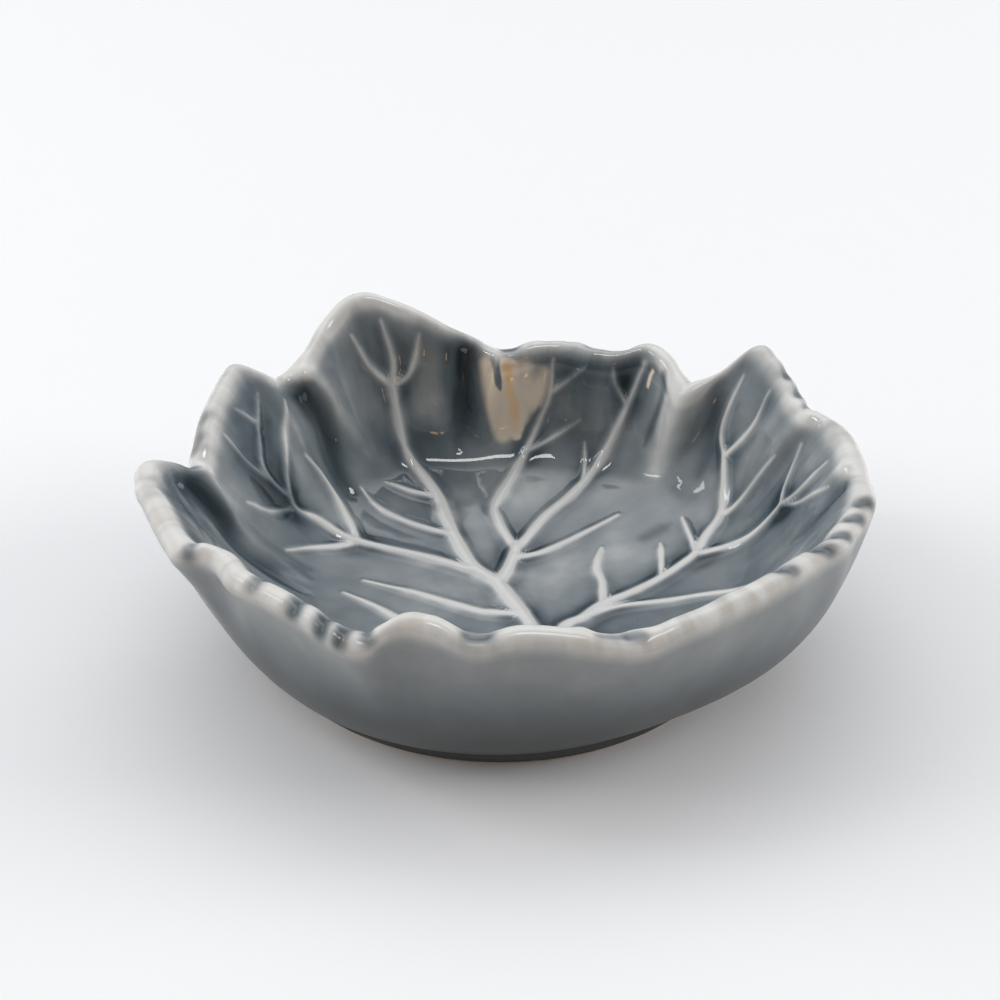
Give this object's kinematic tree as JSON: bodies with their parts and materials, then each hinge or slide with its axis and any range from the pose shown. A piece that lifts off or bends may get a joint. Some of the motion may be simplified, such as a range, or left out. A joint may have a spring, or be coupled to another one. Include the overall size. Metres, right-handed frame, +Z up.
{
  "type": "leaf-shaped dish",
  "caption": "Shallow glazed earthenware dish shaped as a cabbage leaf, with raised veins, a lobed crimped rim and a foot ring.",
  "frame": {"origin": "centre of the leaf's outline in plan, on the plane that the foot ring stands on", "axes": "+Z up out of the dish; +X along the dish's longest width, towards the broad right lobe; -Y towards the leaf's stalk"},
  "size_m": [0.16, 0.1374, 0.0496],
  "materials": {
    "clay_body": "bare fired buff earthenware, matt",
    "glaze_coat": "glossy translucent blue-grey glaze, pooled dark in the hollows and pale where it thins on veins and rim",
    "base_glaze": "glossy blue-grey glaze"
  },
  "bodies": {
    "root": {"clay_body": "clay_body", "glaze_coat": "glaze_coat", "base_glaze": "base_glaze"}
  },
  "joints": []
}
